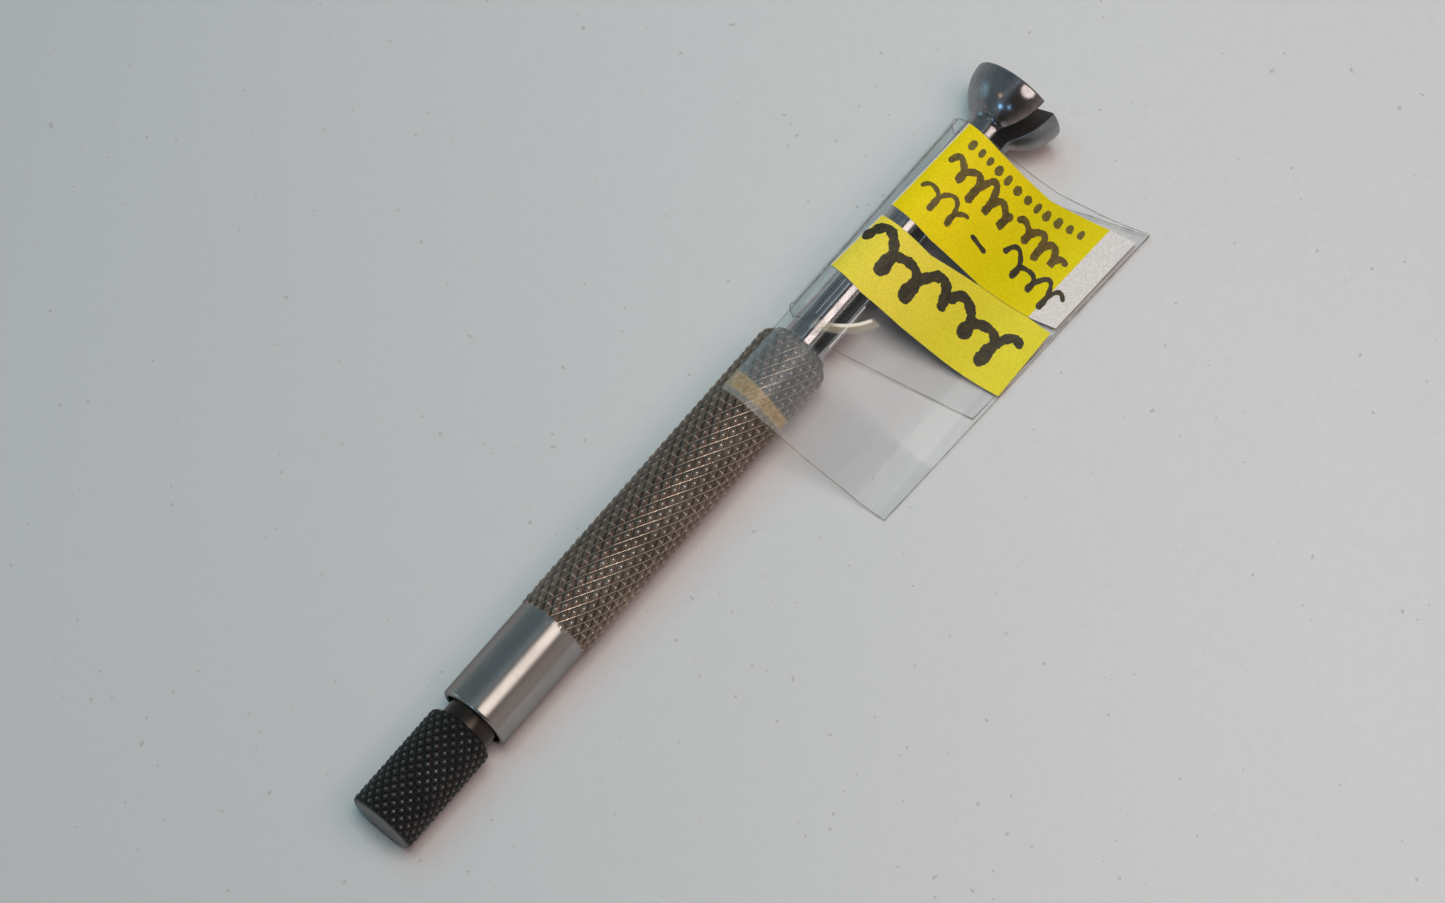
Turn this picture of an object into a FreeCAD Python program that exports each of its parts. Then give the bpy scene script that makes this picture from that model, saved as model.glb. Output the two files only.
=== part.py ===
import FreeCAD, Part
import math
import os

# Small hole gauge, half-ball type, 0.400 to 0.500 in. All lengths in millimetres.
# +X runs along the tool's axis from the knob to the half-ball head. +Z is up when the gauge
# lies on a bench with its tag out to the side (-Y). The origin is on the axis, at the middle
# of the plain sleeve at the rear of the handle.

Vector = FreeCAD.Vector
os.makedirs("parts", exist_ok=True)

# ---- stations along the axis ----
REAR_CHAMFER = 0.25
SLEEVE_LENGTH = 11.70                # handle's rear face to the end of the plain sleeve
HANDLE_REAR = -(REAR_CHAMFER + SLEEVE_LENGTH) / 2
KNOB_REAR = HANDLE_REAR - 13.45
KNOB_FRONT = HANDLE_REAR - 1.45
SCREW_FRONT = HANDLE_REAR + 14.00
SLEEVE_END = HANDLE_REAR + SLEEVE_LENGTH
THREAD_BORE_END = HANDLE_REAR + 15.8
ROD_BORE_REAR = HANDLE_REAR + 16.6
ROOT_REAR = HANDLE_REAR + 27.0       # step in the handle's bore that the shank root meets
ROOT_SLOT_REAR = HANDLE_REAR + 31.0
MOUTH_REAR = HANDLE_REAR + 43.0      # the handle's bore widens from here forward
PIVOT = HANDLE_REAR + 45.50          # flexure point of the split shank
GRIP_CHAMFER = HANDLE_REAR + 47.75
HANDLE_FRONT = HANDLE_REAR + 48.90
SEAT = HANDLE_REAR + 62.00           # edge that the wedge pushes on
HEAD_END = HANDLE_REAR + 82.95       # flat end of the half ball

# ---- radii ----
KNOB_RADIUS = 3.572                  # 9/32 in diameter
NECK_RADIUS = 2.72
SLEEVE_RADIUS = 3.81                 # 0.300 in diameter
GRIP_RADIUS = 3.969                  # 5/16 in diameter over the knurl, built as a plain cylinder
HANDLE_FRONT_RADIUS = 2.95
SHANK_RADIUS = 2.381                 # 3/16 in diameter
MOUTH_RADIUS = SHANK_RADIUS + 0.20
BALL_RADIUS = 5.08                   # 0.400 in diameter, closed
THREAD_RADIUS = 3.15                 # 1/4-40 thread, major
THREAD_ROOT_RADIUS = 2.79
THREAD_BORE_RADIUS = 3.20
ROD_RADIUS = 1.30
ROD_BORE_RADIUS = 1.38
GROOVE_RADIUS = 1.52                 # bore of the contact halves, up to the seat

# ---- split head ----
SLOT = 1.40                          # width of the saw cut, as machined
SLOT_ANGLE = math.radians(46.8)      # slot plane, turned from +Z towards -Y
REST_OPEN = 0.0050                   # each half's rest angle from closed, radians
CLEAR = 0.02                         # gap left at each end of the push rod

AXIS = Vector(1, 0, 0)
# In the slot plane, across the axis.
SLOT_ACROSS = Vector(0, -math.sin(SLOT_ANGLE), math.cos(SLOT_ANGLE))
# Normal of the slot, towards the upper half.
SLOT_NORMAL = Vector(0, math.cos(SLOT_ANGLE), math.sin(SLOT_ANGLE))


def polygon_face(points):
    return Part.Face(Part.makePolygon(points + [points[0]]))


def turned(profile):
    """Closed (x, radius) polygon, turned about the X axis."""
    face = polygon_face([Vector(x, radius, 0) for x, radius in profile])
    return face.revolve(Vector(0, 0, 0), AXIS, 360)


def axial_cylinder(radius, start, end):
    return Part.makeCylinder(radius, end - start, Vector(start, 0, 0), AXIS)


def pivot_cylinder(radius, half_length=6.0):
    """Cylinder lying across the tool in the slot plane, through the flexure point."""
    start = Vector(PIVOT, 0, 0) - SLOT_ACROSS * half_length
    return Part.makeCylinder(radius, 2 * half_length, start, SLOT_ACROSS)


def slot_slab(low, high, start=-60, end=120):
    """Box between two offsets along the slot normal."""
    box = Part.makeBox(end - start, 40, high - low)
    box.translate(Vector(start, -20, low))
    # local y goes to SLOT_ACROSS, local z to SLOT_NORMAL
    return box.transformed(FreeCAD.Matrix(
        1, 0, 0, 0,
        0, SLOT_ACROSS.y, SLOT_NORMAL.y, 0,
        0, SLOT_ACROSS.z, SLOT_NORMAL.z, 0,
        0, 0, 0, 1))


def export(shape, name):
    solids = shape.Solids
    assert solids and all(s.isValid() and s.Volume > 0 for s in solids), name
    result = solids[0] if len(solids) == 1 else Part.makeCompound(solids)
    result.exportStep("parts/%s.step" % name)


# ---- handle and shank root ----
def make_handle():
    return turned([
        # outside, rear to front
        (HANDLE_REAR + REAR_CHAMFER, SLEEVE_RADIUS), (SLEEVE_END, SLEEVE_RADIUS),
        (SLEEVE_END + 0.16, GRIP_RADIUS), (GRIP_CHAMFER, GRIP_RADIUS),
        (HANDLE_FRONT, HANDLE_FRONT_RADIUS),
        # bore, front to rear
        (HANDLE_FRONT, MOUTH_RADIUS), (MOUTH_REAR + 0.2, MOUTH_RADIUS),
        (MOUTH_REAR, SHANK_RADIUS), (ROOT_REAR, SHANK_RADIUS),
        (ROOT_REAR, ROD_BORE_RADIUS), (ROD_BORE_REAR, ROD_BORE_RADIUS),
        (THREAD_BORE_END, THREAD_BORE_RADIUS), (HANDLE_REAR + 0.30, THREAD_BORE_RADIUS),
        (HANDLE_REAR, THREAD_BORE_RADIUS + 0.25),
        (HANDLE_REAR, SLEEVE_RADIUS - REAR_CHAMFER),
    ])


def make_shank_root():
    """Bored and slotted tube in the handle, hollowed at the front to seat the two halves."""
    seat_clearance = 0.05
    root = axial_cylinder(SHANK_RADIUS, ROOT_REAR, PIVOT)
    root = root.cut(axial_cylinder(ROD_BORE_RADIUS, ROOT_REAR - 7, PIVOT + 5))
    root = root.cut(slot_slab(-SLOT / 2, SLOT / 2, ROOT_SLOT_REAR, ROOT_SLOT_REAR + 29))
    return root.cut(pivot_cylinder(SHANK_RADIUS + seat_clearance))


# ---- contact halves ----
FILLET = 1.1                         # between shank and ball
RIM = 0.22                           # rounding of the ball's flat end
SLOT_EDGE_CHAMFER = 0.10
BLANK_REAR = PIVOT - 4.0


def arc_about(centre, start, end):
    """Shorter arc from start to end about a centre."""
    outward = (start - centre) + (end - centre)
    outward.normalize()
    middle = centre + outward * (start - centre).Length
    return Part.Arc(start, middle, end).toShape()


def make_head_blank():
    """Shank and half ball in one, bored up to the seat and rounded at the rear."""
    ball_centre = Vector(HEAD_END, 0, 0)
    # The fillet circle lies outside the shank, tangent to shank and ball.
    fillet_reach = BALL_RADIUS + FILLET
    fillet_y = SHANK_RADIUS + FILLET
    fillet_x = HEAD_END - math.sqrt(fillet_reach ** 2 - fillet_y ** 2)
    fillet_centre = Vector(fillet_x, fillet_y, 0)
    shank_end = Vector(fillet_x, SHANK_RADIUS, 0)
    ball_start = ball_centre + (fillet_centre - ball_centre) * (BALL_RADIUS / fillet_reach)
    # The rim circle lies inside the ball, tangent to ball and flat end.
    rim_reach = BALL_RADIUS - RIM
    rim_y = math.sqrt(rim_reach ** 2 - RIM ** 2)
    rim_centre = Vector(HEAD_END - RIM, rim_y, 0)
    ball_end = ball_centre + (rim_centre - ball_centre) * (BALL_RADIUS / rim_reach)
    rim_end = Vector(HEAD_END, rim_y, 0)

    rear_centre = Vector(BLANK_REAR, 0, 0)
    rear_edge = Vector(BLANK_REAR, SHANK_RADIUS, 0)
    outline = Part.Wire([
        Part.makeLine(rear_centre, rear_edge),
        Part.makeLine(rear_edge, shank_end),
        arc_about(fillet_centre, shank_end, ball_start),
        arc_about(ball_centre, ball_start, ball_end),
        arc_about(rim_centre, ball_end, rim_end),
        Part.makeLine(rim_end, ball_centre),
        Part.makeLine(ball_centre, rear_centre),
    ])
    outer = Part.Face(outline).revolve(Vector(0, 0, 0), AXIS, 360)
    bored = outer.cut(axial_cylinder(GROOVE_RADIUS, BLANK_REAR - 1, SEAT))
    # The rear end is rounded about the flexure point, so a half can turn in its seat.
    ahead_of_pivot = Part.makeBox(80, 20, 20, Vector(PIVOT, -10, -10))
    return bored.common(pivot_cylinder(SHANK_RADIUS).fuse(ahead_of_pivot))


def is_slot_edge(edge, side):
    """True for edges where the saw cut leaves the outside of a half."""
    middle = edge.valueAt((edge.FirstParameter + edge.LastParameter) / 2)
    return (abs(middle.dot(SLOT_NORMAL) - side * SLOT / 2) < 1e-4
            and middle.x > PIVOT + 4
            and math.hypot(middle.y, middle.z) > GROOVE_RADIUS + 0.2
            and edge.Length > 0.05)


def make_contact_half(blank, side):
    """One half of the head; side is +1 for the upper half and -1 for the lower."""
    low, high = sorted((side * SLOT / 2, side * 12))
    half = blank.common(slot_slab(low, high)).Solids[0]
    slot_edges = [edge for edge in half.Edges if is_slot_edge(edge, side)]
    # The chamfer can fail where it meets the fillet and rim; the half then keeps sharp edges.
    try:
        chamfered = half.makeChamfer(SLOT_EDGE_CHAMFER, slot_edges)
        volume_change = abs(chamfered.Volume - half.Volume)
        if chamfered.isValid() and volume_change < 2 and chamfered.Solids:
            half = chamfered
    except Exception:
        pass
    half = half.copy()
    half.rotate(Vector(PIVOT, 0, 0), SLOT_ACROSS, side * math.degrees(REST_OPEN))
    return half


# ---- push rod ----
WEDGE_SLOPE = 0.35                   # fall of each ramp per mm along the axis
WEDGE_TIP_HALF = 0.35                # half thickness at the tip


def make_push_rod():
    """Round rod with a two-sided wedge at its front end."""
    seat_half = SLOT / 2 + REST_OPEN * (SEAT - PIVOT) - CLEAR
    tip = SEAT + (seat_half - WEDGE_TIP_HALF) / WEDGE_SLOPE
    cut_height = ROD_RADIUS + 0.4
    cut_rear = SEAT - (cut_height - seat_half) / WEDGE_SLOPE
    cut_front = tip + 2
    front_half = seat_half - (cut_front - SEAT) * WEDGE_SLOPE

    rod = axial_cylinder(ROD_RADIUS, SCREW_FRONT + CLEAR, tip)
    for side in (1, -1):
        ramp = polygon_face([
            Vector(x, 0, 0) + SLOT_NORMAL * (side * offset)
            for x, offset in ((cut_rear, cut_height), (cut_front, front_half),
                              (cut_front, cut_height))])
        ramp.translate(SLOT_ACROSS * -5)
        rod = rod.cut(ramp.extrude(SLOT_ACROSS * 10))
    return rod


# ---- adjusting screw ----
THREAD_PITCH = 25.4 / 40
THREAD_START = HANDLE_REAR + 1.5
THREAD_END = HANDLE_REAR + 11.8
RIDGE_ROOT_HALF = 0.26               # half width of the thread ridge at its root
RIDGE_CREST_HALF = 0.045
RIDGE_OVERLAP = 0.06                 # depth of the ridge inside the core
NOSE_RADIUS = 1.9


def make_screw_core():
    return turned([
        (KNOB_REAR, 0), (KNOB_REAR, KNOB_RADIUS - 0.34), (KNOB_REAR + 0.30, KNOB_RADIUS),
        (KNOB_FRONT - 0.5, KNOB_RADIUS), (KNOB_FRONT, KNOB_RADIUS - 0.5),
        (KNOB_FRONT, NECK_RADIUS), (HANDLE_REAR + 1.0, NECK_RADIUS),
        (HANDLE_REAR + 1.1, THREAD_ROOT_RADIUS), (HANDLE_REAR + 12.2, THREAD_ROOT_RADIUS),
        (HANDLE_REAR + 12.6, NOSE_RADIUS), (SCREW_FRONT - 0.2, NOSE_RADIUS),
        (SCREW_FRONT, NOSE_RADIUS - 0.2), (SCREW_FRONT, 0),
    ])


def make_thread_ridge():
    """Helical ridge, swept about Z and then laid along X."""
    helix = Part.makeHelix(THREAD_PITCH, THREAD_END - THREAD_START, THREAD_ROOT_RADIUS)
    inner = THREAD_ROOT_RADIUS - RIDGE_OVERLAP
    corners = [Vector(inner, 0, -RIDGE_ROOT_HALF), Vector(THREAD_RADIUS, 0, -RIDGE_CREST_HALF),
               Vector(THREAD_RADIUS, 0, RIDGE_CREST_HALF), Vector(inner, 0, RIDGE_ROOT_HALF)]
    section = Part.makePolygon(corners + [corners[0]])
    ridge = Part.Wire(helix).makePipeShell([section], True, True)
    ridge.rotate(Vector(0, 0, 0), Vector(0, 1, 0), 90)
    ridge.translate(Vector(THREAD_START, 0, 0))
    return ridge


def make_adjusting_screw():
    screw = make_screw_core()
    # The swept ridge may not fuse into one clean solid; plain rings then stand in for it.
    try:
        threaded = screw.fuse(make_thread_ridge())
        if (threaded.isValid() and len(threaded.Solids) == 1
                and threaded.Volume > screw.Volume + 5):
            return threaded
    except Exception:
        pass
    inner = THREAD_ROOT_RADIUS - 0.1
    for i in range(int((THREAD_END - THREAD_START) / THREAD_PITCH)):
        x = THREAD_START + i * THREAD_PITCH
        screw = screw.fuse(turned([
            (x, inner), (x, THREAD_ROOT_RADIUS), (x + 0.27, THREAD_RADIUS),
            (x + 0.36, THREAD_RADIUS), (x + 0.6, THREAD_ROOT_RADIUS), (x + 0.6, inner)]))
    return screw


# ---- tag: clear film folded round the handle, with two labels on top ----
TAG_RADIUS = 4.00                    # inside of the film where it lies on the grip
FILM = 0.10
LABEL = 0.09
LABEL_GAP = 0.01                     # between film and label

# Sections across the axis, (y, z), from the fold on the +Y side to the far edge at -Y.
CREST = [(TAG_RADIUS * math.cos(math.radians(angle)), TAG_RADIUS * math.sin(math.radians(angle)))
         for angle in range(50, 116, 5)]     # degrees up from +Y
FALL = [(-3.6, 2.75), (-5.2, 1.75), (-7.2, 0.35), (-9.5, -1.35), (-12.0, -2.95),
        (-14.5, -3.95), (-18.6, -4.33), (-22.0, -4.36)]
TOP = CREST + [(y, z - FILM) for y, z in FALL]
UNDER = [(2.40, 3.235), (2.66, 3.00), (3.03, 2.30), (3.20, 1.20), (3.12, 0.0), (2.75, -1.2),
         (2.1, -2.35), (1.1, -3.15), (0.0, -3.5), (-1.5, -3.70), (-4.0, -3.88), (-8.0, -4.12),
         (-12.0, -4.40), (-15.0, -4.50), (-18.6, -4.50), (-22.0, -4.50)]

# Outlines seen from above, (x from the handle's rear face, y).
FOLD_Y = 6                           # beyond the fold, so the outlines take it in
FRONT_X = 76.45
FRONT = [(FRONT_X, 1.73), (FRONT_X, -2.6), (76.85, -4.81), (77.1, -6.2), (77.86, -8.86),
         (79.25, -12.0), (81.45, -18.16)]
FAR = [(73.5, -18.0), (66.4, -17.6), (58.4, -17.4), (49.4, -17.1), (41.56, -16.75)]
TOP_REAR = [(41.04, -11.55), (40.28, -7.11), (39.8, -2.54)]
UNDER_REAR = [(55.3, -17.2), (54.8, -15.0), (54.15, -12.0), (53.2, -8.0), (52.3, -4.0),
              (51.75, -1.5), (51.4, 0.0), (51.2, 1.2)]
UNDER_SETBACK = 0.15                 # front edge of the lower layer behind the upper one
LABEL_PLANS = {
    "tag_upper_label": [
        (76.39, 1.25), (76.2, -2.86), (76.3, -5.8), (76.7, -8.85), (78.0, -11.85),
        (79.1, -14.8), (79.75, -17.6), (67.66, -17.1), (66.75, -14.3), (65.4, -9.08),
        (64.78, -3.27), (64.98, 1.72)],
    "tag_lower_label": [
        (63.54, 1.76), (63.71, -4.15), (65.35, -9.08), (66.70, -14.3), (66.95, -17.03),
        (58.56, -17.2), (56.52, -6.3), (56.0, -1.64), (56.46, 2.34)],
}


def smooth_edge(points):
    curve = Part.BSplineCurve()
    curve.interpolate(points)
    return curve.toShape()


def sheet(section, low, high, outline):
    """Thin sheet along X, trimmed to an outline seen from above.

    Its two faces are the section curve offset by low and high along its left-hand normal.
    That normal points inwards on TOP and outwards on UNDER.
    """
    start, end = HANDLE_REAR + 30, HANDLE_REAR + 90
    points = smooth_edge([Vector(0, y, z) for y, z in section]).discretize(60)
    sides = []
    for offset in (low, high):
        side = []
        for i, point in enumerate(points):
            along = points[min(i + 1, len(points) - 1)] - points[max(i - 1, 0)]
            length = math.hypot(along.y, along.z)
            side.append(Vector(start, point.y - along.z / length * offset,
                               point.z + along.y / length * offset))
        sides.append(side)
    first, second = sides
    border = Part.Wire([smooth_edge(first), Part.makeLine(first[-1], second[-1]),
                        smooth_edge(second), Part.makeLine(second[0], first[0])])
    strip = Part.Face(border).extrude(Vector(end - start, 0, 0))
    plan = polygon_face([Vector(HANDLE_REAR + x, y, -20) for x, y in outline])
    return strip.common(plan.extrude(Vector(0, 0, 40)))


def make_tag_film():
    top = sheet(TOP, 0.0, -FILM,
                [(39.97, FOLD_Y), (FRONT_X, FOLD_Y)] + FRONT + FAR + TOP_REAR)
    under_front = [(x - UNDER_SETBACK, y) for x, y in FRONT]
    under = sheet(UNDER, 0.0, FILM,
                  [(51.2, FOLD_Y), (FRONT_X, FOLD_Y)] + under_front + FAR[:3] + UNDER_REAR)
    return top.fuse(under)


def make_label(outline):
    inside = -FILM - LABEL_GAP
    return sheet(TOP, inside, inside - LABEL, outline)


export(make_handle(), "handle")
export(make_shank_root(), "shank_root")
head_blank = make_head_blank()
export(make_contact_half(head_blank, +1), "upper_contact_half")
export(make_contact_half(head_blank, -1), "lower_contact_half")
export(make_push_rod(), "push_rod")
export(make_adjusting_screw(), "adjusting_screw")
export(make_tag_film(), "tag_film")
for label_name, label_plan in LABEL_PLANS.items():
    export(make_label(label_plan), label_name)
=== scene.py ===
# A small-hole gauge lying along x: its split half-ball head is at +x, its adjusting knob at -x.
# A folded clear film tag is wrapped round the handle and lies out to -y, with two labels on top.
# The table is below (-z). Lengths are in mm, and make() turns them into metres; shaders, lights
# and the camera work in metres.
import math
from functools import reduce
import bmesh
import bpy
import numpy as np
from mathutils import Matrix, Vector


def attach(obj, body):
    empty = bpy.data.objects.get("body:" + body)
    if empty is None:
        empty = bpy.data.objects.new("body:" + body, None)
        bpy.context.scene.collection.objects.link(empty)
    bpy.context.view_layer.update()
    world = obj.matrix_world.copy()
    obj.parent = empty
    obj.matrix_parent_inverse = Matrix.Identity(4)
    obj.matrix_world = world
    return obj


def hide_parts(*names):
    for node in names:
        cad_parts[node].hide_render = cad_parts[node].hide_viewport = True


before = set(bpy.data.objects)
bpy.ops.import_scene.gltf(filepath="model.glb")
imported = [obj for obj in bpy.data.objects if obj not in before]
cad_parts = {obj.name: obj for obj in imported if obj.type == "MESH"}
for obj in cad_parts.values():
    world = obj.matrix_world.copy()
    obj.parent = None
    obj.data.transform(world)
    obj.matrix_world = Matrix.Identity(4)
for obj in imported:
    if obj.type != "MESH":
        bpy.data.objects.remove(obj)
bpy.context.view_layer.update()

MM = 0.001
rng = np.random.default_rng(7)

# ------------------------------------------------------------------ driving dimensions
REAR = -5.975                     # rear face of the handle; stations along the tool start here
R_SLEEVE, R_GRIP, R_FRONT, R_SHANK, R_BALL = 3.81, 3.969, 2.95, 2.381, 5.08
R_KNOB, R_NECK = 3.572, 2.72
KNOB_REAR, KNOB_FRONT = REAR - 13.45, REAR - 1.45
SLEEVE_END = REAR + 11.70         # plain sleeve behind, knurled grip in front
GRIP_CHAMFER = REAR + 47.75
HANDLE_FRONT = REAR + 48.90
HEAD_END = REAR + 82.95
PIVOT = REAR + 45.50              # root of the slot, where the halves hinge
SEAT = REAR + 62.00               # end of the groove between the halves
SLOT, R_GROOVE = 1.40, 1.52
HALF_SLOT = SLOT / 2
REST_OPEN = 0.0050                # radians each half stands open
SLOT_TILT = math.radians(46.8)
SLOT_ALONG = np.array([0, -math.sin(SLOT_TILT), math.cos(SLOT_TILT)])
SLOT_NORMAL = np.array([0, math.cos(SLOT_TILT), math.sin(SLOT_TILT)])

# Diamond knurls: grooves each way round, lead, where they start along x, turn in radians
GRIP_KNURL = dict(starts=24, lead=1.82, x_from=SLEEVE_END, turn=0.05)
KNOB_KNURL = dict(starts=21, lead=1.23, x_from=KNOB_REAR, turn=0.12)


def station(distance):
    """Metres along x of a point this many mm in front of the handle's rear face."""
    return (REAR + distance) * MM


# ------------------------------------------------------------------ mesh helpers
def make(name, verts, faces, mats, face_mats=None, sharp=None):
    """Mesh object from mm. With no sharp angle (degrees) it is flat and keeps its winding."""
    mesh = bpy.data.meshes.new(name)
    mesh.from_pydata((np.asarray(verts, float) * MM).tolist(), [], faces)
    mesh.update()
    smooth = sharp is not None
    if smooth:
        bm = bmesh.new()
        bm.from_mesh(mesh)
        bmesh.ops.recalc_face_normals(bm, faces=bm.faces)
        bm.to_mesh(mesh)
        bm.free()
    for mat in mats:
        mesh.materials.append(mat)
    if face_mats is not None:
        mesh.polygons.foreach_set("material_index", np.asarray(face_mats, np.int32))
    mesh.polygons.foreach_set("use_smooth", np.full(len(mesh.polygons), smooth))
    if smooth:
        mesh.set_sharp_from_angle(angle=math.radians(sharp))
    return add_object(name, mesh)


def add_object(name, data):
    obj = bpy.data.objects.new(name, data)
    bpy.context.scene.collection.objects.link(obj)
    return obj


def tube_faces(rings, around, closed=False):
    """Quads between successive rings; closed joins the last ring to the first."""
    faces = []
    for i in range(rings if closed else rings - 1):
        a = i * around
        b = ((i + 1) % rings) * around
        for j in range(around):
            k = (j + 1) % around
            faces.append((a + j, a + k, b + k, b + j))
    return faces


def cap_faces(ring, around, centre):
    first = ring * around
    return [(first + j, first + (j + 1) % around, centre) for j in range(around)]


def grid_rim(across, rows):
    """Vertex numbers round the border of a grid, as pairs of neighbours."""
    rim = list(range(across))
    rim += [i * across + across - 1 for i in range(1, rows)]
    rim += [(rows - 1) * across + j for j in range(across - 2, -1, -1)]
    rim += [i * across for i in range(rows - 2, 0, -1)]
    return list(zip(rim, rim[1:] + rim[:1]))


def turned(name, rows, around, mats, mat_at, sharp, closed):
    """Surface of revolution. rows: (x, radius, relief), where relief(x, angles) is the depth
    taken off. An open profile gets a cap at each end."""
    angles = np.arange(around) * 2 * math.pi / around
    verts = np.zeros((len(rows), around, 3))
    for i, (x, radius, relief) in enumerate(rows):
        cut = np.full(around, radius) - relief(x, angles)
        verts[i, :, 0] = x
        verts[i, :, 1] = cut * np.cos(angles)
        verts[i, :, 2] = cut * np.sin(angles)
    verts = verts.reshape(-1, 3)
    last = len(rows) - 1
    faces = tube_faces(len(rows), around, closed)
    mat_rows = [row[0] for row in (rows if closed else rows[:-1])]
    if not closed:
        for i in (0, last):
            faces += cap_faces(i, around, len(verts))
            verts = np.vstack([verts, [[rows[i][0], 0, 0]]])
            mat_rows.append(rows[i][0])
    return make(name, verts, faces, mats, np.repeat([mat_at(x) for x in mat_rows], around), sharp)


def plain(x, angles):
    return 0.0


def diamonds(x, angles, knurl, floor, rise, depth):
    """Relief of a diamond knurl: flat groove floors, then slopes up to the points."""
    turns = knurl["starts"] * (angles + knurl["turn"]) / (2 * math.pi)
    along = (x - knurl["x_from"]) / knurl["lead"]
    a = turns + along
    b = turns - along
    height = np.minimum(2 * np.abs(a - np.round(a)), 2 * np.abs(b - np.round(b)))
    return depth * (1 - np.clip((height - floor) / rise, 0, 1))


# ------------------------------------------------------------------ material helper
class Shader:
    """Builds one material's nodes. Positions come from object coordinates, in metres."""
    def __init__(self, name):
        self.material = bpy.data.materials.new(name)
        self.material.use_nodes = True
        self.tree = self.material.node_tree
        self.tree.nodes.clear()
        self.output = self.node("ShaderNodeOutputMaterial")
        self.coords = self.node("ShaderNodeTexCoord").outputs["Object"]

    def node(self, kind):
        return self.tree.nodes.new(kind)

    def link(self, source, target):
        self.tree.links.new(source, target)

    def put(self, socket, value):
        if isinstance(value, bpy.types.NodeSocket):
            self.link(value, socket)
        else:
            socket.default_value = (*value, 1) if isinstance(value, tuple) else value

    def math(self, operation, a, b=0.0):
        node = self.node("ShaderNodeMath")
        node.operation = operation
        for socket, value in zip(node.inputs, (a, b, 0.0)):
            self.put(socket, value)
        return node.outputs[0]

    def add(self, *terms):
        return reduce(lambda a, b: self.math("ADD", a, b), terms)

    def sub(self, *terms):
        return reduce(lambda a, b: self.math("SUBTRACT", a, b), terms)

    def mul(self, *terms):
        return reduce(lambda a, b: self.math("MULTIPLY", a, b), terms)

    def max(self, a, b):
        return self.math("MAXIMUM", a, b)

    def noise(self, scale, detail=3, rough=0.6, stretch=(1, 1, 1), seed=0.0, warp=0.0):
        mapping = self.node("ShaderNodeMapping")
        self.link(self.coords, mapping.inputs["Vector"])
        mapping.inputs["Scale"].default_value = stretch
        mapping.inputs["Location"].default_value = (seed, seed * 1.7, seed * 0.6)
        texture = self.node("ShaderNodeTexNoise")
        self.link(mapping.outputs[0], texture.inputs["Vector"])
        texture.inputs["Scale"].default_value = scale
        texture.inputs["Detail"].default_value = detail
        texture.inputs["Roughness"].default_value = rough
        texture.inputs["Distortion"].default_value = warp
        return texture.outputs[0]

    def lines(self, along, across, seed, rough=0.5):
        """Noise drawn out into tool marks: frequency along x and across it."""
        return self.noise(1.0, detail=2, rough=rough, stretch=(along, across, across), seed=seed)

    def ramp(self, value, at, to=(0.0, 1.0)):
        """Straight grey ramp between two input values."""
        node = self.node("ShaderNodeValToRGB")
        self.link(value, node.inputs[0])
        for stop, position, grey in zip(node.color_ramp.elements, at, to):
            stop.position = position
            stop.color = (grey, grey, grey, 1)
        return node.outputs[0]

    def mask(self, value, off, on):
        """Smooth step from 0 at off to 1 at on."""
        node = self.node("ShaderNodeMapRange")
        node.clamp = True
        node.interpolation_type = "SMOOTHSTEP"
        self.put(node.inputs[0], value)
        node.inputs[1].default_value = off
        node.inputs[2].default_value = on
        return node.outputs[0]

    def mix(self, mask, base, color, amount=None):
        """base where the mask is 0, color where it is 1; amount scales the mask."""
        if amount is not None:
            mask = self.mul(mask, amount)
        node = self.node("ShaderNodeMix")
        node.data_type = "RGBA"
        self.put(node.inputs[0], mask)
        self.put(node.inputs[6], base)
        self.put(node.inputs[7], color)
        return node.outputs[2]

    def blend(self, share, first, second):
        """Mix of two shaders; share is the second's."""
        node = self.node("ShaderNodeMixShader")
        self.put(node.inputs[0], share)
        self.link(first, node.inputs[1])
        self.link(second, node.inputs[2])
        return node.outputs[0]

    def bump(self, height, strength, depth, normal=None):
        node = self.node("ShaderNodeBump")
        node.inputs["Strength"].default_value = strength
        node.inputs["Distance"].default_value = depth
        self.link(height, node.inputs["Height"])
        if normal is not None:
            self.link(normal, node.inputs["Normal"])
        return node.outputs[0]

    def xyz(self):
        node = self.node("ShaderNodeSeparateXYZ")
        self.link(self.coords, node.inputs[0])
        return node.outputs

    def radius(self):
        """Distance from the tool's axis."""
        _, y, z = self.xyz()
        return self.math("SQRT", self.add(self.mul(y, y), self.mul(z, z)))

    def knurl(self, starts, lead, x_from, turn):
        """Height over a diamond knurl (0 in a groove, 1 at a point), then the distance from
        the nearest groove of each hand."""
        x, y, z = self.xyz()
        turns = self.mul(self.add(self.math("ARCTAN2", z, y), turn), starts / (2 * math.pi))
        along = self.mul(self.sub(x, x_from * MM), 1 / (lead * MM))
        a = self.mul(self.math("PINGPONG", self.add(turns, along), 0.5), 2.0)
        b = self.mul(self.math("PINGPONG", self.sub(turns, along), 0.5), 2.0)
        return self.math("MINIMUM", a, b), a, b

    def principled(self, color, metallic, rough, normal, **inputs):
        node = self.node("ShaderNodeBsdfPrincipled")
        self.put(node.inputs["Base Color"], color)
        self.put(node.inputs["Metallic"], metallic)
        self.put(node.inputs["Roughness"], rough)
        self.link(normal, node.inputs["Normal"])
        for key, value in inputs.items():
            self.put(node.inputs[key.replace("_", " ")], value)
        return self.finish(node.outputs[0])

    def finish(self, shader):
        self.link(shader, self.output.inputs[0])
        return self.material


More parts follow.
